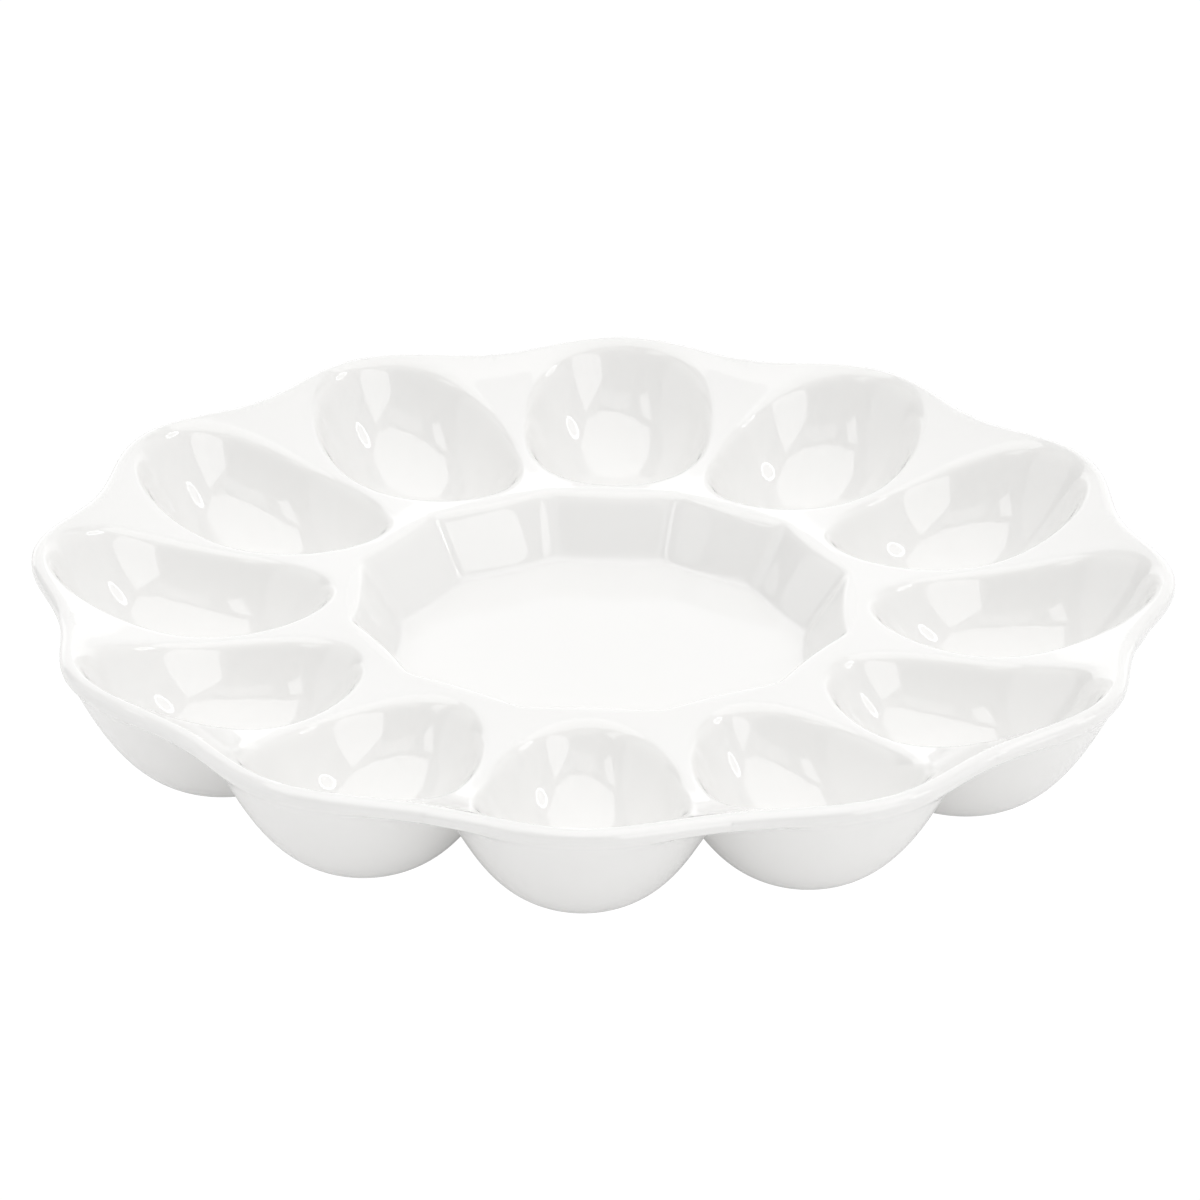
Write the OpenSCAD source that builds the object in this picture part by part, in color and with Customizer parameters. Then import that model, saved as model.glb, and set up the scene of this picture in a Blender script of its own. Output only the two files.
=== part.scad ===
// Egg platter, one glazed casting. Egg cups stand round a many-sided centre bowl, and
// a scalloped deck of ridges, ring and rim joins them.
// The origin is at the middle of the feet and +Z is up. Two height functions, top_z and
// under_z, describe the skin of the whole casting, and every sub-part is the piece of it
// that stands over one patch of the plan, so neighbours meet face to face.

/* [Platter] */
// Overall width across opposite scallops
platter_w = 280; // [250:1:320]
// Overall height from the feet to the rim
platter_h = 36; // [32:0.5:42]
// Depth of each notch between two scallops
notch_depth = 6.5; // [3:0.5:9]
// How far the rim dips at a notch
notch_dip = 1.2; // [0:0.1:3]

/* [Rim lip] */
// Thickness of the lip
lip_t = 4.5; // [3.5:0.1:6]
// Width of the rounded edge, from the crest of the lip outwards
lip_w = 2.9; // [2:0.1:4]
// Width of the level top between the crest and a cup
lip_shoulder = 1; // [0.5:0.1:2.5]

/* [Ridges and ring] */
// Fall from the rim to the lowest part of the ridges
ridge_drop = 12; // [10:0.5:15]
// Width of a ridge beside the middle of a cup
ridge_w = 5.8; // [4.5:0.1:8]
// Fall from the rim to the ring round the centre bowl
ring_drop = 9.6; // [6:0.2:11]
// Width of the ring round the centre bowl
ring_w = 6.6; // [5:0.2:10]
// Softness of every edge between the deck and a hollow
edge_round = 1.5; // [0.8:0.1:2]

/* [Egg cups] */
// Length of the mouth of a cup
cup_l = 70; // [62:1:76]
// Thickness of a cup over its foot
cup_floor_t = 3.8; // [3:0.1:6]
// How much wider a cup is outside than inside, on each side
cup_side_t = 7; // [5:0.5:8]
// Length of the flat foot under a cup
foot_l = 18; // [10:1:26]
// Softness of the valleys of the underside
under_round = 1; // [0.5:0.1:1.5]

/* [Centre bowl] */
// Depth of the bowl below the ring
bowl_depth = 15.5; // [10:0.5:17]
// How far the wall leans in over its depth
bowl_draft = 9.5; // [6:0.5:12]
// How far the middle of each side bows in
side_bow = 1.2; // [0:0.1:2]
// Thickness of the wall and the floor
bowl_t = 4; // [3:0.1:5]
// Softness of the bowl's upright corners
corner_round = 1; // [0.5:0.1:1.5]
// Softness of the foot of the wall
floor_round = 1.2; // [0.6:0.1:1.4]
// Width of the floor that belongs to the wall
floor_margin = 4.5; // [4:0.5:7]

/* [Hidden] */
// Number of cups, of sides of the bowl and of scallops
cups = 12;
sector = 360 / cups;
half = sector / 2;

// Steps of one half of the plan of a cup: along the rim, across its lip on the line of
// the ridge, down the ridge, and along the bowl
rim_steps = 4;
lip_steps = 2;
ridge_steps = 6;
bowl_steps = 2;
rim_end = rim_steps;
lip_end = rim_end + lip_steps;
ridge_end = lip_end + ridge_steps;
half_spokes = ridge_end + bowl_steps;
spokes = 2 * half_spokes;

// Heights of the main levels above the table
ring_z = platter_h - ring_drop;
floor_z = ring_z - bowl_depth;
well_depth = platter_h - cup_floor_t;

// How full the section of a cup is, inside and outside, as powers of the distance
well_power = 2.6;
bulge_power = 3;
// How much a cup narrows towards its inner end
taper_share = 0.1;
// Reach of the mouth at the inner end and beside the middle, as shares of the hollow
inner_share = pow(1 - ring_drop / well_depth, 1 / well_power);
side_share = pow(1 - ridge_drop / well_depth, 1 / well_power);
near_mouth_share = 0.97;

// Places and half sizes of a cup in plan, all along its axis or across it
rim_r = platter_w / 2;
cup_out_r = rim_r - lip_w - lip_shoulder;
well_a = cup_l / (1 + inner_share);
cup_mid = cup_out_r - well_a;
well_b = (cup_mid * tan(half) - ridge_w / 2) / side_share;
bulge_a = rim_r - cup_mid;
bulge_b = well_b + cup_side_t;
foot_share = foot_l / 2 / bulge_a;

// Places of the centre bowl, measured to the middle of a side
bowl_r = cup_out_r - cup_l - ring_w;
seam_r = bowl_r + ring_w / 2;
floor_r = bowl_r - bowl_draft - floor_margin;
side_half = bowl_r * tan(half);
wall_slope = bowl_depth / bowl_draft;
wall_run = bowl_t * norm([bowl_draft, bowl_depth]) / bowl_depth;

// Where the ridges are lowest, from the ring to the rim
ridge_low_share = 0.38;
ridge_low_r = seam_r + ridge_low_share * (rim_r - seam_r);

// The upright band that is left on the edge of the lip, and the fall of each rounding
lip_band_share = 0.07;
lip_fall = lip_t * (1 - lip_band_share) / 2;

// Where the ends of those steps lie round the mouth of a cup, in degrees from its outer end
mouth_turns = [[0, 0], [rim_end, 40], [lip_end, 54], [ridge_end, 156], [half_spokes, 180]];

// Rows of facets: turns of the lip's rounding, and shares of the way across each patch
lip_turns = [50, 90];
deck_shares = [0.45, 0.72, 1];
deck_rows = 2 + len(deck_shares);
first_row_share = 0.2;
well_shares = [0.12, 0.4, 0.62, 0.8, 0.92];
bulge_shares = [1, 0.7, 0.38];
wall_shares = [1, 0.89, 0.81, 0.7, 0.39, 0.27, 0.17, 0];

porcelain = [0.96, 0.96, 0.95];

function cup_name(i) = str("egg_cup_", i < 10 ? "0" : "", i);

// Cups are numbered clockwise from the one on +Y
function cup_turn(i) = 90 - sector * (i - 1);

function polar(r, a) = [r * cos(a), r * sin(a)];
function turned(p, a) = [p.x * cos(a) - p.y * sin(a), p.x * sin(a) + p.y * cos(a)];
function between(a, b, share) = a + (b - a) * share;
function total(values) = values * [for (v = values) 1];

// Lowest or highest of some heights, with a rounded change from one to the next
function soft_min(size, values) = -size * ln(total([for (v = values) exp(-v / size)]));
function soft_max(size, values) = size * ln(total([for (v = values) exp(v / size)]));

// Outline of the rim, with one scallop on the axis of each cup
function rim_radius(a) = rim_r - notch_depth * pow(sin(a * cups / 2), 2);

// Rounding of the lip: 0 on its crest, the full fall on its outline
function lip_rounding(r, a) =
    let (out = min(1, max(0, (r - rim_radius(a) + lip_w) / lip_w)))
    lip_fall * (1 - sqrt(1 - out * out));

// The deck sags from the rim to the ridges and rises again to the ring
function deck_z(r, a) =
    let (
        out = min(1, max(0, (r - ridge_low_r) / (rim_radius(a) - lip_w - ridge_low_r))),
        inward = min(1, max(0, (ridge_low_r - r) / (ridge_low_r - seam_r))),
        dip = notch_dip * pow(sin(a * cups / 2), 2)
    )
    platter_h - ridge_drop
        + (ridge_drop - dip) * out * out
        + (ridge_drop - ring_drop) * inward * inward;

// An egg-shaped outline, blunt end outwards, and the share of it that a point lies at
function egg_point(share, t, a, b) =
    [cup_mid + a * share * cos(t), b * (1 + taper_share * share * cos(t)) * share * sin(t)];
function egg_share(p, a, b) =
    let (
        along = (p.x - cup_mid) / a,
        width = b * (1 + taper_share * min(1, max(-1, along)))
    )
    norm([along, p.y / width]);

// Hollow of a cup, and its outside, which is cut flat at the foot
function well_z(p) =
    platter_h - well_depth * (1 - pow(egg_share(p, well_a, well_b), well_power));
function bulge_z(p) =
    let (foot = pow(foot_share, bulge_power))
    platter_h * (pow(egg_share(p, bulge_a, bulge_b), bulge_power) - foot) / (1 - foot);

// Distance from the middle of the bowl, measured square to its nearest sides
function side_distance(r, a) = r * cos(a) - side_bow * pow(r * sin(a) / side_half, 2);
function bowl_distance(r, a) =
    soft_max(corner_round, [side_distance(r, a), side_distance(r, sector - abs(a))]);

// Inside of the bowl, and its outside, which is thicker by the wall and the floor
function bowl_z(r, a) =
    soft_max(floor_round, [ring_z + (bowl_distance(r, a) - bowl_r) * wall_slope, floor_z]);
function bowl_under_z(r, a) =
    let (out = bowl_distance(r, a) - bowl_r - wall_run)
    soft_max(floor_round, [ring_z + out * wall_slope, floor_z - bowl_t]);

// The skin of the casting at radius r, turned by a from the axis of the nearest cup
function top_z(r, a) =
    soft_min(edge_round, [
        deck_z(r, a) - lip_rounding(r, a),
        well_z(polar(r, a)),
        well_z(polar(r, abs(a) - sector)),
        bowl_z(r, a)
    ]);
function under_z(r, a) =
    max(0, soft_min(under_round, [
        deck_z(r, a) - lip_t + lip_rounding(r, a),
        bulge_z(polar(r, a)),
        bulge_z(polar(r, abs(a) - sector)),
        bowl_under_z(r, a)
    ]));

// A point of the skin over a point of the plan
function on_top(p) = [p.x, p.y, top_z(norm(p), atan2(p.y, p.x))];
function below(p) = [p.x, p.y, under_z(norm(p), atan2(p.y, p.x))];

// Mouth of a cup, where its hollow meets the deck, in steps from the outer end
function mouth_share(t) =
    let (
        p = egg_point(near_mouth_share, t, well_a, well_b),
        drop = platter_h - deck_z(norm(p), atan2(p.y, p.x))
    )
    pow(1 - drop / well_depth, 1 / well_power);
function mouth_turn(k) =
    k <= half_spokes ? lookup(k, mouth_turns) : 360 - lookup(spokes - k, mouth_turns);
function mouth_point(k) =
    egg_point(mouth_share(mouth_turn(k)), mouth_turn(k), well_a, well_b);

// Outer edge of the patch of deck round one cup: rim, then lip and ridge, then bowl
function half_edge(k) =
    let (
        rim_a = half * k / rim_steps,
        bowl_a = half * (half_spokes - k) / bowl_steps,
        ridge_stops = [
            [rim_end, rim_radius(half)],
            [lip_end, rim_radius(half) - lip_w],
            [ridge_end, seam_r / cos(half)]
        ]
    )
    k <= rim_end ? polar(rim_radius(rim_a), rim_a)
    : k <= ridge_end ? polar(lookup(k, ridge_stops), half)
    : polar(seam_r / cos(bowl_a), bowl_a);
function patch_edge(k) =
    k <= half_spokes ? half_edge(k) : [half_edge(spokes - k).x, -half_edge(spokes - k).y];

// Rows of the deck on one spoke, as shares of the way from the mouth to the edge
function deck_row_shares(k) =
    let (
        run = norm(patch_edge(k) - mouth_point(k)),
        crest = 1 - lip_w / run,
        to_rim = min(k, spokes - k) <= rim_end,
        first = min(edge_round / run, to_rim ? crest / 2 : first_row_share)
    )
    to_rim ? [0, first, crest, for (q = lip_turns) 1 - lip_w * (1 - sin(q)) / run]
    : [0, first, for (share = deck_shares) share];

// A solid skinned over rings of points, either closed end to end or capped at both ends
module loft(rings, endless = false) {
    n = len(rings[0]);
    bands = len(rings) - (endless ? 0 : 1);
    faces = [
        for (j = [0:bands - 1], k = [0:n - 1])
            let (
                a = j * n + k,
                b = j * n + (k + 1) % n,
                c = ((j + 1) % len(rings)) * n + (k + 1) % n,
                d = ((j + 1) % len(rings)) * n + k
            )
            each [[a, b, c], [a, c, d]]
    ];
    first_cap = [for (k = [n - 1:-1:0]) k];
    last_cap = [for (k = [0:n - 1]) (len(rings) - 1) * n + k];
    caps = endless ? [] : [first_cap, last_cap];
    polyhedron([for (ring = rings) each ring], concat(faces, caps), convexity = 10);
}

// One egg cup, its hollow from the floor up to the mouth, then its outside down to the foot
module egg_cup(i) {
    hollow = [
        for (share = [for (s = well_shares) s, 1]) [
            for (k = [0:spokes - 1])
                let (
                    t = mouth_turn(k),
                    way = (share - well_shares[0]) / (1 - well_shares[0]),
                    reach = between(well_shares[0], mouth_share(t), way)
                )
                on_top(egg_point(reach, t, well_a, well_b))
        ]
    ];
    floor_height = min([for (p = hollow[0]) p.z]);
    level_floor = [for (p = hollow[0]) [p.x, p.y, floor_height]];
    foot_plan = [
        for (k = [0:spokes - 1]) egg_point(foot_share, mouth_turn(k), bulge_a, bulge_b)
    ];
    foot = [for (p = foot_plan) [p.x, p.y, 0]];
    outside = [
        for (share = bulge_shares) [
            for (k = [0:spokes - 1]) below(between(foot_plan[k], mouth_point(k), share))
        ]
    ];
    color(porcelain)
        rotate(cup_turn(i))
            loft([
                level_floor,
                for (j = [1:len(hollow) - 1]) hollow[j],
                for (ring = outside) ring,
                foot
            ]);
}

// The deck round all cups: one patch for each cup, joined to the next along the ridge
module scalloped_deck() {
    plan = [
        for (k = [0:spokes - 1], share = deck_row_shares(k))
            between(mouth_point(k), patch_edge(k), share)
    ];
    skin = [for (p = plan) [top_z(norm(p), atan2(p.y, p.x)), under_z(norm(p), atan2(p.y, p.x))]];
    count = cups * len(plan);
    points = [
        for (side = [0, 1], i = [0:cups - 1], m = [0:len(plan) - 1])
            let (p = turned(plan[m], i * sector))
            [p.x, p.y, skin[m][side]]
    ];
    last = deck_rows - 1;
    function index(i, k, j) =
        let (shared = j == last && k >= rim_end && k <= ridge_end)
        shared ? (((i + 1) % cups) * spokes + spokes - k) * deck_rows + j
        : ((i % cups) * spokes + k % spokes) * deck_rows + j;
    function upright(a, b) = [a + count, a, b, b + count];
    function open_edge(k) =
        k < rim_end || k >= spokes - rim_end || (k >= ridge_end && k < spokes - ridge_end);
    faces = [
        for (i = [0:cups - 1], k = [0:spokes - 1]) each [
            for (j = [0:last - 1])
                let (
                    a = index(i, k, j),
                    b = index(i, k + 1, j),
                    c = index(i, k + 1, j + 1),
                    d = index(i, k, j + 1)
                )
                each [
                    [a, b, c], [a, c, d],
                    [c + count, b + count, a + count], [d + count, c + count, a + count]
                ],
            upright(index(i, k + 1, 0), index(i, k, 0)),
            if (open_edge(k)) upright(index(i, k, last), index(i, k + 1, last))
        ]
    ];
    color(porcelain) polyhedron(points, faces, convexity = 10);
}

// The leaning wall of the centre bowl, from the ring down to the edge of the floor
module centre_bowl_wall() {
    side_steps = 2 * bowl_steps;
    function ring(share, side) = [
        for (k = [0:cups * side_steps - 1])
            let (
                a = half * (k % side_steps) / bowl_steps - half,
                r = between(floor_r, seam_r, share) / cos(a),
                p = polar(r, a + sector * floor(k / side_steps))
            )
            [p.x, p.y, side == 0 ? top_z(r, a) : under_z(r, a)]
    ];
    inside = [for (j = [len(wall_shares) - 1:-1:0]) ring(wall_shares[j], 0)];
    outside = [for (share = wall_shares) ring(share, 1)];
    color(porcelain) loft(concat(inside, outside), endless = true);
}

// The flat floor of the centre bowl
module centre_bowl_floor() {
    color(porcelain)
        translate([0, 0, floor_z - bowl_t])
            rotate(half)
                cylinder(r = floor_r / cos(half), h = bowl_t, $fn = cups);
}

scalloped_deck();
centre_bowl_wall();
centre_bowl_floor();
for (i = [1:cups]) egg_cup(i);
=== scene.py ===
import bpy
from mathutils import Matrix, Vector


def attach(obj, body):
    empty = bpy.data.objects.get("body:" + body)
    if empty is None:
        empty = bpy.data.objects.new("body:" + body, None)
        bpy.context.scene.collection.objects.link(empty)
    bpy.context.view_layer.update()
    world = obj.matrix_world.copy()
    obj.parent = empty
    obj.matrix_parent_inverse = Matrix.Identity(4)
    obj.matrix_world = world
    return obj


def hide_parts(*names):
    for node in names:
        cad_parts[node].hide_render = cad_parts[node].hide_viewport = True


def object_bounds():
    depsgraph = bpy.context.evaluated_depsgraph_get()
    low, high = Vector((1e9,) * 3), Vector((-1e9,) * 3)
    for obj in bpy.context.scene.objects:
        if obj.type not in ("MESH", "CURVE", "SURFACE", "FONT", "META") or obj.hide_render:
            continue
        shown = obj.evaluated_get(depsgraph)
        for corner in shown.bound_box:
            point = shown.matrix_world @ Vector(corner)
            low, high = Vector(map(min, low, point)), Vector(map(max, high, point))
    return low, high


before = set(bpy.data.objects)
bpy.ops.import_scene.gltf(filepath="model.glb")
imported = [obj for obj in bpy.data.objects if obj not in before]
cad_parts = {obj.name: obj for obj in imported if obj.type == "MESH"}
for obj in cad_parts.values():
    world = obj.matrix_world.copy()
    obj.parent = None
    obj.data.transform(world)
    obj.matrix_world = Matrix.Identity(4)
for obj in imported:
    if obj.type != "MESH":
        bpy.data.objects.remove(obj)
cad_corners = [list(corner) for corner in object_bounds()]

import math

import bpy
import numpy as np
from mathutils import Matrix, Vector

# Egg cups. Twelve egg-shaped hollows, blunt end out, pressed thick-walled from the one slab of
# white clay between two moulds, so that cup and deck are one skin with rounded edges. Each
# stands on a small dry foot, and glossy white glaze runs over everything but that foot.
CUPS = 12
SECTOR = math.tau / CUPS
HALF = SECTOR / 2
RIM_R = 0.14
PLATTER_H = 0.036
TOP_Z = cad_corners[1][2]
CUP_L = 0.07
CUP_FLOOR_T = 0.0038
CUP_SIDE_T = 0.007
FOOT_L = 0.018
TAPER_SHARE = 0.1
WELL_POWER = 2.6
BULGE_POWER = 3
NEAR_MOUTH_SHARE = 0.97
EDGE_ROUND = 0.0013
BOWL_EDGE_ROUND = 0.0008
UNDER_ROUND = 0.0018
NOTCH_DEPTH = 0.0065
NOTCH_DIP = 0.0012
LIP_T = 0.0045
LIP_W = 0.0029
LIP_SHOULDER = 0.001
LIP_BAND_SHARE = 0.07
RIDGE_DROP = 0.012
RIDGE_W = 0.0058
RIDGE_LOW_SHARE = 0.38
RING_DROP = 0.0096
RING_W = 0.0066
BOWL_DEPTH = 0.0155
BOWL_DRAFT = 0.0095
BOWL_T = 0.004
SIDE_BOW = 0.0012
CORNER_ROUND = 0.001
FLOOR_ROUND = 0.0007
GLAZE_DRAW_SHARE = 1.6

well_depth = PLATTER_H - CUP_FLOOR_T
inner_share = (1 - RING_DROP / well_depth) ** (1 / WELL_POWER)
side_share = (1 - RIDGE_DROP / well_depth) ** (1 / WELL_POWER)
cup_out_r = RIM_R - LIP_W - LIP_SHOULDER
well_a = CUP_L / (1 + inner_share)
cup_mid = cup_out_r - well_a
well_b = (cup_mid * math.tan(HALF) - RIDGE_W / 2) / side_share
bulge_a = RIM_R - cup_mid
bulge_b = well_b + CUP_SIDE_T
foot_share = FOOT_L / 2 / bulge_a
lip_fall = LIP_T * (1 - LIP_BAND_SHARE) / 2
ring_z = PLATTER_H - RING_DROP
floor_z = ring_z - BOWL_DEPTH
bowl_r = cup_out_r - CUP_L - RING_W
seam_r = bowl_r + RING_W / 2
wall_run = BOWL_T * math.hypot(BOWL_DRAFT, BOWL_DEPTH) / BOWL_DEPTH
ridge_low_r = seam_r + RIDGE_LOW_SHARE * (RIM_R - seam_r)


def blended_low(size, *heights):
    """The lowest of some heights, running from one to the next with a rounding of this size."""
    low = np.minimum.reduce(heights)
    return low - size * np.log(sum(np.exp((low - height) / size) for height in heights))


def blended_high(size, *heights):
    return -blended_low(size, *[-height for height in heights])


def rim_radius(turn):
    return RIM_R - NOTCH_DEPTH * np.sin(turn * CUPS / 2) ** 2


def lip_fall_at(r, turn):
    """How far the rounded edge of the lip has fallen from its crest, the same above and below."""
    out = np.clip((r - rim_radius(turn) + LIP_W) / LIP_W, 0, 1)
    return lip_fall * (1 - np.sqrt(1 - out * out))


def deck_height(r, turn):
    """The deck sags from the rim to the low of the ridges and rises again to the ring."""
    out = np.clip((r - ridge_low_r) / (rim_radius(turn) - LIP_W - ridge_low_r), 0, 1)
    inward = np.clip((ridge_low_r - r) / (ridge_low_r - seam_r), 0, 1)
    dip = NOTCH_DIP * np.sin(turn * CUPS / 2) ** 2
    rise = (RIDGE_DROP - dip) * out * out + (RIDGE_DROP - RING_DROP) * inward * inward
    return PLATTER_H - RIDGE_DROP + rise


def egg_point(share, turn, length, width):
    x = share * np.cos(turn)
    y = (1 + TAPER_SHARE * x) * share * np.sin(turn)
    return np.stack([cup_mid + length * x, width * y], -1)


def egg_share(x, y, length, width):
    along = (x - cup_mid) / length
    return np.hypot(along, y / (width * (1 + TAPER_SHARE * np.clip(along, -1, 1))))


def hollow_height(r, turn):
    share = egg_share(r * np.cos(turn), r * np.sin(turn), well_a, well_b)
    return PLATTER_H - well_depth * (1 - share ** WELL_POWER)


def outside_height(r, turn):
    share = egg_share(r * np.cos(turn), r * np.sin(turn), bulge_a, bulge_b)
    foot = foot_share ** BULGE_POWER
    return PLATTER_H * (share ** BULGE_POWER - foot) / (1 - foot)


def bowl_height(r, turn, out, floor):
    """The centre bowl, its twelve sides bowed in and leaning, its corners and foot rounded."""
    side_half = bowl_r * math.tan(HALF)
    sides = [
        r * np.cos(a) - SIDE_BOW * (r * np.sin(a) / side_half) ** 2
        for a in (turn, SECTOR - np.abs(turn))
    ]
    wall = ring_z + (blended_high(CORNER_ROUND, *sides) - bowl_r - out) * BOWL_DEPTH / BOWL_DRAFT
    return blended_high(FLOOR_ROUND, wall, floor + 0 * wall)


def upper_skin(x, y):
    r, turn = np.hypot(x, y), np.arctan2(y, x)
    hollows = blended_low(
        EDGE_ROUND,
        deck_height(r, turn) - lip_fall_at(r, turn),
        hollow_height(r, turn),
        hollow_height(r, np.abs(turn) - SECTOR),
    )
    return blended_low(BOWL_EDGE_ROUND, hollows, bowl_height(r, turn, 0, floor_z))


def lower_skin(x, y):
    r, turn = np.hypot(x, y), np.arctan2(y, x)
    return blended_low(
        UNDER_ROUND,
        deck_height(r, turn) - LIP_T + lip_fall_at(r, turn),
        outside_height(r, turn),
        outside_height(r, np.abs(turn) - SECTOR),
        bowl_height(r, turn, wall_run, floor_z - BOWL_T),
    )


def glaze_draw(x, y):
    """How far the glaze drew back in the kiln: 1 on a crest beside a hollow, 0 in the hollows."""
    r, turn = np.hypot(x, y), np.arctan2(y, x)
    hollows = np.minimum.reduce([
        hollow_height(r, turn),
        hollow_height(r, np.abs(turn) - SECTOR),
        bowl_height(r, turn, 0, floor_z),
    ])
    step = deck_height(r, turn) - lip_fall_at(r, turn) - hollows
    return np.exp(-(step / (GLAZE_DRAW_SHARE * EDGE_ROUND)) ** 2)


# The slope of a skin is felt this far to either side of a point.
PROBE = 0.000002


def skin_points(skin, plan):
    """Points of a skin over a plan, with the direction that the glaze faces at each."""
    x, y = plan[..., 0], plan[..., 1]
    side = 1 if skin is upper_skin else -1
    slope_x = (skin(x + PROBE, y) - skin(x - PROBE, y)) / (2 * PROBE)
    slope_y = (skin(x, y + PROBE) - skin(x, y - PROBE)) / (2 * PROBE)
    facing = side * np.stack([-slope_x, -slope_y, np.ones_like(x)], -1)
    facing /= np.linalg.norm(facing, axis=-1, keepdims=True)
    height = np.clip(skin(x, y), 0, TOP_Z)
    drawn = glaze_draw(x, y) if side == 1 else np.zeros_like(x)
    return np.stack([x, y, height], -1), facing, drawn


def turned(vectors, angle):
    c, s = math.cos(angle), math.sin(angle)
    return vectors @ np.array([[c, s, 0], [-s, c, 0], [0, 0, 1]])


# Spokes run from the middle of a cup through its mouth to the edge of its patch of deck: the
# rim, then across the lip and down the crest of the ridge, then along the bowl. The stops are
# the turns round the mouth, in degrees, at which they pass from one to the next.
RIM_STEPS, LIP_STEPS, RIDGE_STEPS, BOWL_STEPS = 16, 5, 34, 10
MOUTH_STOPS = [0, 40, 54, 156, 180]
lip_end = RIM_STEPS + LIP_STEPS
ridge_end = lip_end + RIDGE_STEPS
half_spokes = ridge_end + BOWL_STEPS
spokes = 2 * half_spokes
spoke_stops = [0, RIM_STEPS, lip_end, ridge_end, half_spokes]
half_turns = np.interp(range(half_spokes + 1), spoke_stops, np.radians(MOUTH_STOPS))
mouth_turns = np.concatenate([half_turns, math.tau - half_turns[-2:0:-1]])
near_mouth = egg_point(NEAR_MOUTH_SHARE, mouth_turns, well_a, well_b)
near_turn = np.arctan2(near_mouth[:, 1], near_mouth[:, 0])
mouth_drop = PLATTER_H - deck_height(np.hypot(*near_mouth.T), near_turn)
mouth_shares = (1 - mouth_drop / well_depth) ** (1 / WELL_POWER)
mouth = egg_point(mouth_shares, mouth_turns, well_a, well_b)
foot_edge = egg_point(foot_share, mouth_turns, bulge_a, bulge_b)

# Rows of a hollow lie closer together toward its edge, where the glaze curves most.
HOLLOW_ROWS, OUTSIDE_ROWS = 40, 20
HOLLOW_CLOSING = 1.7
hollow_ways = 1 - np.linspace(1, 0, HOLLOW_ROWS + 1)[1:, None] ** HOLLOW_CLOSING
outside_ways = np.linspace(1, 0, OUTSIDE_ROWS + 1)[:, None, None]
hollow = skin_points(upper_skin, egg_point(mouth_shares * hollow_ways, mouth_turns, well_a, well_b))
outside = skin_points(lower_skin, foot_edge + (mouth - foot_edge) * outside_ways)
cup_bottom = skin_points(upper_skin, np.array([[cup_mid, 0.0]]))

THICK_GLAZE, THIN_GLAZE = (0.902, 0.897, 0.885, 1), (0.918, 0.913, 0.899, 1)
GLAZE_ROUGHNESS = (0.012, 0.026)
GLAZE_IOR = 1.6
FIRE_CLOUD, FIRE_THINNING = 0.022, (-0.15, 0.2)
GLOSS_CLOUD = 0.0011
RIPPLE, RIPPLE_DEPTH = 0.017, 0.00002
PEEL, PEEL_DEPTH = 0.0016, 0.000001
NOISE_LOW, NOISE_HIGH = 0.3, 0.7


def white_glaze():
    """Clear glossy glaze over white clay: a shade deeper where it lies thick in the hollows than
    on the crests, clouded by the fire, with a slow ripple and an orange peel in its surface."""
    material = bpy.data.materials.new("white_glaze")
    material.use_nodes = True
    nodes, links = material.node_tree.nodes, material.node_tree.links
    shader = nodes["Principled BSDF"]
    place = nodes.new("ShaderNodeTexCoord").outputs["Object"]

    def cloud(size, detail):
        pattern = nodes.new("ShaderNodeTexNoise")
        pattern.inputs["Scale"].default_value = 1 / size
        pattern.inputs["Detail"].default_value = detail
        links.new(place, pattern.inputs["Vector"])
        return pattern.outputs["Fac"]

    def carried(value, low, high):
        carry = nodes.new("ShaderNodeMapRange")
        carry.inputs["From Min"].default_value = NOISE_LOW
        carry.inputs["From Max"].default_value = NOISE_HIGH
        carry.inputs["To Min"].default_value = low
        carry.inputs["To Max"].default_value = high
        links.new(value, carry.inputs["Value"])
        return carry.outputs["Result"]

    drawn = nodes.new("ShaderNodeAttribute")
    drawn.attribute_name = "glaze_draw"
    thin = nodes.new("ShaderNodeMath")
    thin.operation = "ADD"
    thin.use_clamp = True
    links.new(drawn.outputs["Fac"], thin.inputs[0])
    links.new(carried(cloud(FIRE_CLOUD, 3), *FIRE_THINNING), thin.inputs[1])
    tint = nodes.new("ShaderNodeValToRGB")
    tint.color_ramp.elements[0].color = THICK_GLAZE
    tint.color_ramp.elements[1].color = THIN_GLAZE
    links.new(thin.outputs["Value"], tint.inputs["Fac"])
    links.new(tint.outputs["Color"], shader.inputs["Base Color"])
    links.new(carried(cloud(GLOSS_CLOUD, 1), *GLAZE_ROUGHNESS), shader.inputs["Roughness"])
    shader.inputs["IOR"].default_value = GLAZE_IOR
    relief = None
    for size, depth in ((RIPPLE, RIPPLE_DEPTH), (PEEL, PEEL_DEPTH)):
        bump = nodes.new("ShaderNodeBump")
        bump.inputs["Distance"].default_value = depth
        links.new(cloud(size, 1), bump.inputs["Height"])
        if relief:
            links.new(relief, bump.inputs["Normal"])
        relief = bump.outputs["Normal"]
    links.new(relief, shader.inputs["Normal"])
    return material


DARK_GRAIN, PALE_GRAIN = (0.62, 0.58, 0.52, 1), (0.76, 0.73, 0.67, 1)
DARK_UP_TO, PALE_FROM = 0.35, 0.62
GRAINS_PER_M = 1400
GRAIN_DEPTH = 0.00006
CLAY_ROUGHNESS = 0.85


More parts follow.
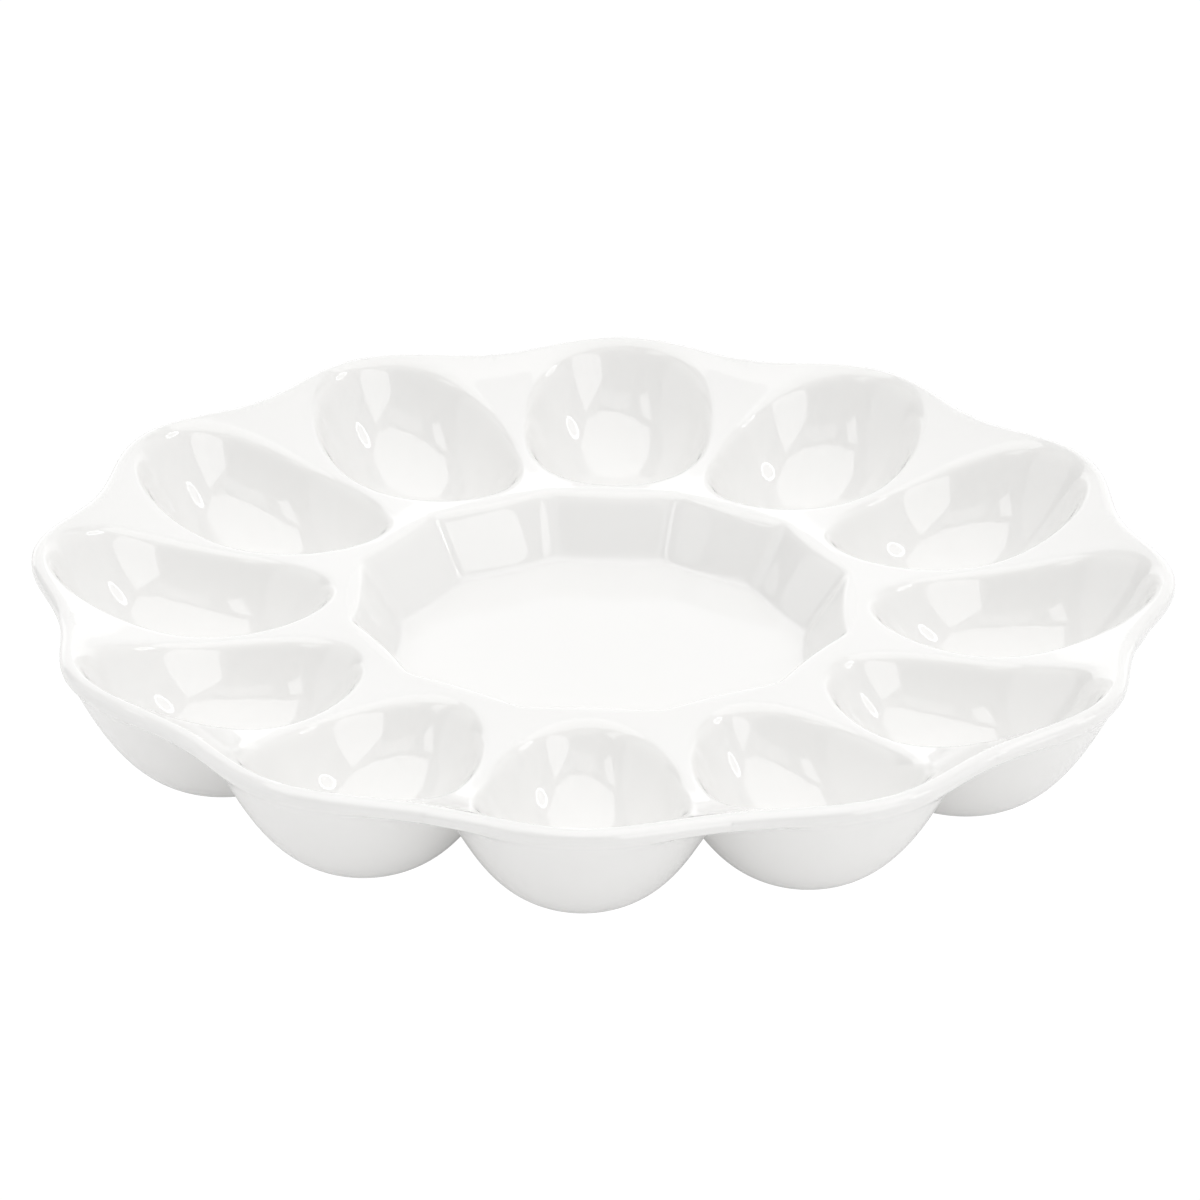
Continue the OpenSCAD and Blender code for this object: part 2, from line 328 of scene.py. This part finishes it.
def dry_clay():
    """The fired clay of a foot, wiped clean of glaze so that it doesn't stick to the kiln shelf."""
    material = bpy.data.materials.new("dry_clay")
    material.use_nodes = True
    nodes, links = material.node_tree.nodes, material.node_tree.links
    shader = nodes["Principled BSDF"]
    grain = nodes.new("ShaderNodeTexNoise")
    grain.inputs["Scale"].default_value = GRAINS_PER_M
    grain.inputs["Detail"].default_value = 4
    links.new(nodes.new("ShaderNodeTexCoord").outputs["Object"], grain.inputs["Vector"])
    ramp = nodes.new("ShaderNodeValToRGB")
    ramp.color_ramp.elements[0].position = DARK_UP_TO
    ramp.color_ramp.elements[0].color = DARK_GRAIN
    ramp.color_ramp.elements[1].position = PALE_FROM
    ramp.color_ramp.elements[1].color = PALE_GRAIN
    links.new(grain.outputs["Fac"], ramp.inputs["Fac"])
    links.new(ramp.outputs["Color"], shader.inputs["Base Color"])
    bump = nodes.new("ShaderNodeBump")
    bump.inputs["Distance"].default_value = GRAIN_DEPTH
    links.new(grain.outputs["Fac"], bump.inputs["Height"])
    links.new(bump.outputs["Normal"], shader.inputs["Normal"])
    shader.inputs["Roughness"].default_value = CLAY_ROUGHNESS
    return material


glaze, clay = white_glaze(), dry_clay()


def fired(name, node, points, facing, drawn, faces, flat_from, bare_from=None):
    """A glazed piece in place of its node. Faces from flat_from on are flat, bare_from on dry."""
    mesh = bpy.data.meshes.new(name)
    mesh.from_pydata(points.tolist(), [], faces)
    mesh.materials.append(glaze)
    mesh.polygons.foreach_set("use_smooth", [True] * len(faces))
    if bare_from is not None:
        mesh.materials.append(clay)
        mesh.polygons.foreach_set("material_index", [int(i >= bare_from) for i in range(len(faces))])
    mesh.attributes.new("glaze_draw", "FLOAT", "POINT").data.foreach_set("value", drawn)
    corners = []
    for polygon in mesh.polygons:
        plain = tuple(polygon.normal) if polygon.index >= flat_from else None
        corners.extend(plain or tuple(facing[v]) for v in polygon.vertices)
    mesh.normals_split_custom_set(corners)
    piece = bpy.data.objects.new(name, mesh)
    bpy.context.scene.collection.objects.link(piece)
    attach(piece, "root")
    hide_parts(node)
    return piece


def bands(rings):
    """Faces between rings of point numbers, each ring closed on itself."""
    faces = []
    for upper, lower in zip(rings[:-1], rings[1:]):
        for k in range(len(upper)):
            after = (k + 1) % len(upper)
            faces.append((upper[k], upper[after], lower[after], lower[k]))
    return faces


def fan(ring, middle):
    return [(ring[k], ring[(k + 1) % len(ring)], middle) for k in range(len(ring))]


hollow_count = HOLLOW_ROWS * spokes
outside_count = (OUTSIDE_ROWS + 1) * spokes
hollow_rings = np.arange(hollow_count).reshape(-1, spokes)[::-1].tolist()
outside_rings = (hollow_count + np.arange(outside_count)).reshape(-1, spokes).tolist()
bottom, sole = hollow_count + outside_count, hollow_count + outside_count + 1
glazed_faces = [face[::-1] for face in bands(outside_rings)]
glazed_faces += bands(hollow_rings) + fan(hollow_rings[-1], bottom)
bare_faces = [face[::-1] for face in fan(outside_rings[-1], sole)]
cup_faces = glazed_faces + bare_faces + bands([outside_rings[0], hollow_rings[0]])
down = np.array([[0.0, 0.0, -1.0]])
cup_points = np.concatenate([
    hollow[0].reshape(-1, 3), outside[0].reshape(-1, 3), cup_bottom[0], [[cup_mid, 0, 0]],
])
cup_facing = np.concatenate([hollow[1].reshape(-1, 3), outside[1].reshape(-1, 3), cup_bottom[1], down])
cup_drawn = np.concatenate([hollow[2].ravel(), outside[2].ravel(), [0, 0]])
for i in range(CUPS):
    angle = math.pi / 2 - SECTOR * i
    fired(
        f"glazed_egg_cup_{i + 1:02d}", f"egg_cup_{i + 1:02d}",
        turned(cup_points, angle), turned(cup_facing, angle), cup_drawn,
        cup_faces, len(glazed_faces), len(glazed_faces),
    )

# Scalloped deck. The web of the casting that is left between the hollows: a rounded lip with
# one scallop to each cup, twelve sagging ridges, and the ring round the centre bowl. It is
# wiped smooth while the clay is leather-hard and glazed with the rest.
DECK_ROWS, LIP_ROWS = 11, 6
CORNER_CLOSING = 1.6

# Turns along a side of the bowl run from its corner to its middle, closer at the corner.
rim_turns = np.linspace(0, HALF, RIM_STEPS + 1)
bowl_turns = HALF * (1 - np.linspace(0, 1, BOWL_STEPS + 1) ** CORNER_CLOSING)
crest_r = rim_radius(HALF) - LIP_W
edge_r = np.concatenate([
    rim_radius(rim_turns),
    np.linspace(rim_radius(HALF), crest_r, LIP_STEPS + 1)[1:],
    np.linspace(crest_r, seam_r / math.cos(HALF), RIDGE_STEPS + 1)[1:],
    seam_r / np.cos(bowl_turns[1:]),
])
edge_turn = np.concatenate([rim_turns, np.full(LIP_STEPS + RIDGE_STEPS, HALF), bowl_turns[1:]])
edge_r = np.concatenate([edge_r, edge_r[-2:0:-1]])
edge_turn = np.concatenate([edge_turn, -edge_turn[-2:0:-1]])
deck_edge = np.stack([edge_r * np.cos(edge_turn), edge_r * np.sin(edge_turn)], -1)

# Rows close in over the rounded lip, and spread evenly again where the crest of the ridge begins.
runs = np.linalg.norm(deck_edge - mouth, axis=1)
deck_ways = np.tile(np.linspace(0, 1, DECK_ROWS + 1), (spokes, 1))
round_ways = 1 - np.sin(np.linspace(0, math.pi / 2, LIP_ROWS))
for k in range(spokes):
    past_rim = max(min(k, spokes - k) - RIM_STEPS, 0) / LIP_STEPS
    if past_rim < 1:
        over_lip = 1 - (1 - past_rim) * LIP_W * round_ways / runs[k]
        level = np.linspace(0, over_lip[0], DECK_ROWS + 2 - LIP_ROWS)
        closing = np.concatenate([level, over_lip[1:]])
        deck_ways[k] = closing + past_rim * (deck_ways[k] - closing)
deck_plan = mouth[:, None] + (deck_edge - mouth)[:, None] * deck_ways[:, :, None]


def rim_facing():
    """The way that the outermost edge of the lip faces, level and square to its outline."""
    near = edge_turn[:, None] + np.array([PROBE, -PROBE])
    outline = np.stack([rim_radius(near) * np.cos(near), rim_radius(near) * np.sin(near)], -1)
    along = outline[:, 0] - outline[:, 1]
    facing = np.stack([along[:, 1], -along[:, 0], 0 * along[:, 0]], -1)
    return facing / np.linalg.norm(facing, axis=1, keepdims=True)


# Across the crest of a ridge, where two patches meet, the glaze is level.
outermost = rim_facing()
deck_sides = []
for skin in (upper_skin, lower_skin):
    points, facing, drawn = skin_points(skin, deck_plan)
    for k in range(spokes):
        step = min(k, spokes - k)
        if step <= RIM_STEPS:
            facing[k, -1] = outermost[k]
        elif step <= ridge_end:
            across = np.array([-math.sin(edge_turn[k]), math.cos(edge_turn[k]), 0])
            facing[k, -1] -= (facing[k, -1] @ across) * across
            facing[k, -1] /= np.linalg.norm(facing[k, -1])
    deck_sides.append((points, facing, drawn))

# The patches of two neighbouring cups share their points along the ridge between them.
patch = spokes * (DECK_ROWS + 1)
numbers = np.arange(CUPS * patch).reshape(CUPS, spokes, DECK_ROWS + 1)
for i in range(CUPS):
    for k in range(RIM_STEPS, ridge_end + 1):
        numbers[i, k, -1] = numbers[(i + 1) % CUPS, spokes - k, -1]
below = CUPS * patch
deck_faces, edge_faces, seam_faces = [], [], []
for i in range(CUPS):
    for k in range(spokes):
        here, there = numbers[i, k], numbers[i, (k + 1) % spokes]
        for j in range(DECK_ROWS):
            quad = (here[j], here[j + 1], there[j + 1], there[j])
            deck_faces.append(quad)
            deck_faces.append(tuple(n + below for n in quad[::-1]))
        seam_faces.append((here[0], there[0], there[0] + below, here[0] + below))
        outer = (there[-1], here[-1], here[-1] + below, there[-1] + below)
        if k < RIM_STEPS or k >= spokes - RIM_STEPS:
            edge_faces.append(outer)
        elif ridge_end <= k < spokes - ridge_end:
            seam_faces.append(outer)
deck_points, deck_facing = (
    np.concatenate([
        turned(side[part].reshape(-1, 3), SECTOR * i) for side in deck_sides for i in range(CUPS)
    ])
    for part in (0, 1)
)
deck_drawn = np.concatenate([side[2].ravel() for side in deck_sides for i in range(CUPS)])
used, renumbered = np.unique(np.array(deck_faces + edge_faces + seam_faces), return_inverse=True)
fired(
    "glazed_scalloped_deck", "scalloped_deck",
    deck_points[used], deck_facing[used], deck_drawn[used],
    renumbered.reshape(-1, 4).tolist(), len(deck_faces) + len(edge_faces),
)

# Wall of the centre bowl. Twelve leaning sides, each bowed in a little, that the mould turns
# into one another over soft corners. The same glaze runs over it, thin along its upper edge.
WALL_ROWS = 36
FLOOR_MARGIN = 0.0045
floor_r = bowl_r - BOWL_DRAFT - FLOOR_MARGIN
side_turns = np.concatenate([bowl_turns, -bowl_turns[-2:0:-1]])
facets = np.tile(-side_turns, CUPS)
spins = np.repeat(SECTOR * np.arange(CUPS), len(side_turns))


def sided_rings(skin, distances):
    """Twelve-sided rings of a skin at these distances from the middle to a side."""
    r = np.array(distances)[:, None] / np.cos(facets)
    points, facing, drawn = skin_points(skin, np.stack([r * np.cos(facets), r * np.sin(facets)], -1))
    c, s = np.cos(spins), np.sin(spins)

    def spun(vectors):
        x, y, z = vectors[..., 0], vectors[..., 1], vectors[..., 2]
        return np.stack([x * c - y * s, x * s + y * c, z], -1).reshape(-1, 3)

    return spun(points), spun(facing), drawn.ravel()


wall_distances = np.linspace(seam_r, floor_r, WALL_ROWS + 1)
wall_sides = [sided_rings(upper_skin, wall_distances), sided_rings(lower_skin, wall_distances[::-1])]
ring_size = len(facets)
wall_rings = np.arange(2 * (WALL_ROWS + 1) * ring_size).reshape(2, -1, ring_size).tolist()
wall_faces = bands(wall_rings[0]) + bands(wall_rings[1])
wall_seams = bands([wall_rings[0][-1], wall_rings[1][0]]) + bands([wall_rings[1][-1], wall_rings[0][0]])
fired(
    "glazed_bowl_wall", "centre_bowl_wall",
    *(np.concatenate([side[part] for side in wall_sides]) for part in range(3)),
    wall_faces + wall_seams, len(wall_faces),
)

# Floor of the centre bowl. A flat twelve-sided bottom, level and evenly glazed above and
# below, which stands clear of the table.
FLOOR_ROWS = 9
floor_distances = np.linspace(floor_r, 0, FLOOR_ROWS + 1)[:-1]
floor_sides = [sided_rings(upper_skin, floor_distances), sided_rings(lower_skin, floor_distances[::-1])]
floor_rings = np.arange(2 * FLOOR_ROWS * ring_size).reshape(2, -1, ring_size).tolist()
above_middle = 2 * FLOOR_ROWS * ring_size
floor_faces = bands(floor_rings[0]) + fan(floor_rings[0][-1], above_middle)
floor_faces += bands(floor_rings[1]) + [face[::-1] for face in fan(floor_rings[1][0], above_middle + 1)]
floor_seam = bands([floor_rings[1][-1], floor_rings[0][0]])
middles = (
    np.array([[0, 0, floor_z], [0, 0, floor_z - BOWL_T]]), np.concatenate([-down, down]), np.zeros(2),
)
fired(
    "glazed_bowl_floor", "centre_bowl_floor",
    *(np.concatenate([side[part] for side in floor_sides] + [middles[part]]) for part in range(3)),
    floor_faces + floor_seam, len(floor_faces),
)

# Table. A plain white sheet that carries the platter. The camera sees it blown out to pure
# white, and a matt twin under it gives back to the platter the light that falls on the sheet.
TABLE_R = 9.0
TABLE_SIDES = 48
TABLE_Z = -0.0002
TABLE_WHITE = 1.05
TABLE_GLOW = 0.185
TABLE_REFLECT = 0.8


def glowing(name, radiance, reflect=0.0):
    material = bpy.data.materials.new(name)
    material.use_nodes = True
    shader = material.node_tree.nodes["Principled BSDF"]
    shader.inputs["Base Color"].default_value = (reflect, reflect, reflect, 1)
    shader.inputs["Roughness"].default_value = 1
    shader.inputs["Specular IOR Level"].default_value = 0
    shader.inputs["Emission Color"].default_value = (1, 1, 1, 1)
    shader.inputs["Emission Strength"].default_value = radiance
    return material


def staged_sheet(name, corners, material):
    """A flat sheet of the studio that the camera doesn't see."""
    mesh = bpy.data.meshes.new(name)
    mesh.from_pydata(corners, [], [tuple(range(len(corners)))])
    mesh.materials.append(material)
    sheet = bpy.data.objects.new(name, mesh)
    bpy.context.scene.collection.objects.link(sheet)
    sheet.visible_camera = False
    return sheet


table_turns = np.linspace(0, math.tau, TABLE_SIDES + 1)[:-1]
table = [(TABLE_R * math.cos(a), TABLE_R * math.sin(a), TABLE_Z) for a in table_turns]
white_table = staged_sheet("white_table", table, glowing("table_white", TABLE_WHITE))
white_table.visible_camera = True
white_table.visible_diffuse = white_table.visible_glossy = white_table.visible_shadow = False
matt_table = [(x, y, 2 * z) for x, y, z in table]
staged_sheet("matt_table", matt_table, glowing("matt_white", TABLE_GLOW, TABLE_REFLECT))

# Lamps and cards. A wide nine-sided softbox hangs overhead, a tall one stands right of the camera,
# and an oval lamp with a dimmer cap hangs out to the right. White cards and a back slope fill the
# gaps between them, and white flats stand all round, dim in the glaze at the left and the front.
LAMP_Z = 1.3
CARD_Z = 1.33
OCTABOX = [
    (1.47, 0.18), (1.36, -0.59), (0.78, -1.0), (0.04, -1.08),
    (-0.54, -0.93), (-1.23, -0.51), (-1.12, 0.09), (-0.6, 0.5), (0.85, 0.58),
]
TALL_BOX = [(1.49, -0.73, 1.3), (0.88, -1.66, 1.3), (0.93, -1.75, 0.03), (2.0, -0.62, 0.03)]
OVAL_AT, OVAL_LONG, OVAL_WIDE = (2.2, 0.12), (0.55, 0.1), (0.04, 0.27)
OVAL_SIDES = 24
OVAL_FILL = 0.95
CAP_SHARE = 0.78
CAP_DROP = 0.01
SMALL_CARD = [(-1.4, -0.6), (-0.95, -0.88), (-0.88, -1.3), (-1.32, -1.3)]
CAMERA_CARD = [(-0.45, -1.16), (0.9, -1.16), (0.9, -1.5), (-0.45, -1.5)]
RIGHT_CARD = [(0.9, 0.9), (0.9, -2.6), (2.6, -2.6), (2.6, 0.9)]
BACK_SLOPE = [(-3.6, 3.6, 2), (3.6, 3.6, 2), (0.9, 0.62, 1.5), (-0.7, 0.56, 1.5)]
LEFT_SCREEN = [(-3.5, -3.4, 0), (-3.5, 1.6, 0), (-3.5, 1.6, 2.4), (-3.5, -1.2, 2.4), (-3.5, -3.4, 0.9)]
FLAT_AWAY = 3.6


def lamp(name, corners, height, shine, fill):
    """A sheet of light. Its shine is what the glaze mirrors, its fill is what lights the clay."""
    if height:
        corners = [(x, y, height) for x, y in corners]
    mirrored = staged_sheet(name, corners, glowing(name + "_shine", shine))
    mirrored.visible_diffuse = mirrored.visible_shadow = False
    lighting = staged_sheet(name + "_fill", corners, glowing(name + "_fill", fill))
    lighting.visible_glossy = False


lamp("octabox", OCTABOX, LAMP_Z, 1.95, 1.36)
lamp("tall_box", TALL_BOX, 0, 2.3, 1.15)
for name, share, height, shine in (
    ("lamp_rim", 1, LAMP_Z, 6.5), ("lamp_cap", CAP_SHARE, LAMP_Z - CAP_DROP, 2.3),
):
    turns = np.linspace(0, math.tau, OVAL_SIDES + 1)[:-1, None]
    oval = np.array([OVAL_AT]) + share * (np.cos(turns) * OVAL_LONG + np.sin(turns) * OVAL_WIDE)
    lamp(name, oval.tolist(), height, shine, OVAL_FILL)
lamp("small_card", SMALL_CARD, LAMP_Z, 1.9, 0.85)
lamp("camera_card", CAMERA_CARD, CARD_Z, 1.0, 0.85)
lamp("right_card", RIGHT_CARD, CARD_Z, 0.8, 0.72)
lamp("back_slope", BACK_SLOPE, 0, 1.15, 0.9)
lamp("left_screen", LEFT_SCREEN, 0, 0.85, 0.74)
for side, turn, low, high, shine, fill in (
    ("low_back", 0, 0, 1, 1.5, 0.85), ("back", 0, 1, 2, 1.2, 0.81), ("left", 90, 0, 2.4, 0.3, 0.6),
    ("front", 180, 0, 2.4, 0.35, 0.38), ("right", 270, 0, 2.4, 1.05, 0.68),
):
    c, s = round(math.cos(math.radians(turn))), round(math.sin(math.radians(turn)))
    flat = [(-FLAT_AWAY, low), (FLAT_AWAY, low), (FLAT_AWAY, high), (-FLAT_AWAY, high)]
    stood = [(c * x - s * FLAT_AWAY, s * x + c * FLAT_AWAY, z) for x, z in flat]
    lamp(f"{side}_flat", stood, 0, shine, fill)

# The white room beyond the flats, as the glaze mirrors it, as it lights the clay, and as seen.
ROOM_SHINE = 0.42
ROOM_FILL = 0.96
ROOM_SEEN = 1.05
world = bpy.data.worlds.new("white_room")
bpy.context.scene.world = world
world.use_nodes = True
nodes, links = world.node_tree.nodes, world.node_tree.links
path = nodes.new("ShaderNodeLightPath")
levels = nodes["Background"], nodes.new("ShaderNodeBackground"), nodes.new("ShaderNodeBackground")
for level, strength in zip(levels, (ROOM_FILL, ROOM_SHINE, ROOM_SEEN)):
    level.inputs["Color"].default_value = (1, 1, 1, 1)
    level.inputs["Strength"].default_value = strength
lit = levels[0].outputs["Background"]
for level, rays in zip(levels[1:], ("Is Glossy Ray", "Is Camera Ray")):
    choice = nodes.new("ShaderNodeMixShader")
    links.new(path.outputs[rays], choice.inputs["Fac"])
    links.new(lit, choice.inputs[1])
    links.new(level.outputs["Background"], choice.inputs[2])
    lit = choice.outputs["Shader"]
links.new(lit, nodes["World Output"].inputs["Surface"])
bpy.context.scene.view_settings.view_transform = "Standard"

# Camera. It looks down on the platter from the front at about 26 degrees, with a long lens.
LENS = 159.4745
SENSOR_W = 36
FARTHEST = 50
CAMERA_AWAY = 1.300035
CAMERA_RISE = math.radians(25.685)
CAMERA_TURN = math.radians(2.204)
CAMERA_ROLL = math.radians(0.426)
AIM_X, AIM_Z = -0.00037, 0.024915

swing = Matrix.Rotation(CAMERA_TURN, 3, "Z")
eye = swing @ Vector((0, -math.cos(CAMERA_RISE), math.sin(CAMERA_RISE))) * CAMERA_AWAY
eye.z += PLATTER_H
look = ((swing @ Vector((AIM_X, 0, 0))) + Vector((0, 0, AIM_Z)) - eye).normalized()
right = look.cross(Vector((0, 0, 1))).normalized()
up = right.cross(look)
c, s = math.cos(CAMERA_ROLL), math.sin(CAMERA_ROLL)
columns = (c * right + s * up, c * up - s * right, -look)
camera_data = bpy.data.cameras.new("camera")
camera_data.lens = LENS
camera_data.sensor_width = SENSOR_W
camera_data.sensor_fit = "HORIZONTAL"
camera_data.clip_end = FARTHEST
camera = bpy.data.objects.new("camera", camera_data)
bpy.context.scene.collection.objects.link(camera)
camera.matrix_world = Matrix.Translation(eye) @ Matrix(columns).transposed().to_4x4()
bpy.context.scene.camera = camera
